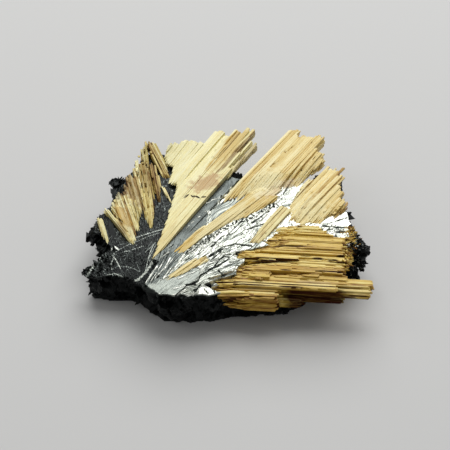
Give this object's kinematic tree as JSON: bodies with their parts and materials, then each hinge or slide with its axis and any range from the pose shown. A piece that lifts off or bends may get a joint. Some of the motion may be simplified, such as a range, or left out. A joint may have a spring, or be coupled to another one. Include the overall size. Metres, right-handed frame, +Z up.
{
  "type": "rutile starburst mineral specimen",
  "caption": "Thick metallic hematite plate carrying fans of straight golden rutile needles that spread from one corner like a star; it rests on its flat underside.",
  "frame": {"origin": "centre of the bounding box's bottom face, under the plate's flat underside", "axes": "+X along the widest side towards the front bundle's needle tips, +Y from the plate's front lip to the back fans, +Z up"},
  "size_m": [0.0474, 0.0374, 0.0098],
  "materials": {
    "hematite": "bright metallic steel grey, wrinkled, black where broken",
    "rutile_pale": "silky, pale straw yellow",
    "rutile_straw": "silky, golden straw",
    "rutile_deep": "silky, deep golden brown"
  },
  "bodies": {
    "root": {"hematite_plate": "hematite", "rutile_fan_back": "rutile_pale", "rutile_fan_rear_right": "rutile_straw", "rutile_fan_right": "rutile_straw", "rutile_bundle_front": "rutile_deep", "rutile_spray_left": "rutile_deep", "rutile_blade_left": "rutile_pale", "rutile_sliver_left": "rutile_pale", "rutile_blade_middle": "rutile_straw", "rutile_blade_inner": "rutile_straw"}
  },
  "joints": []
}
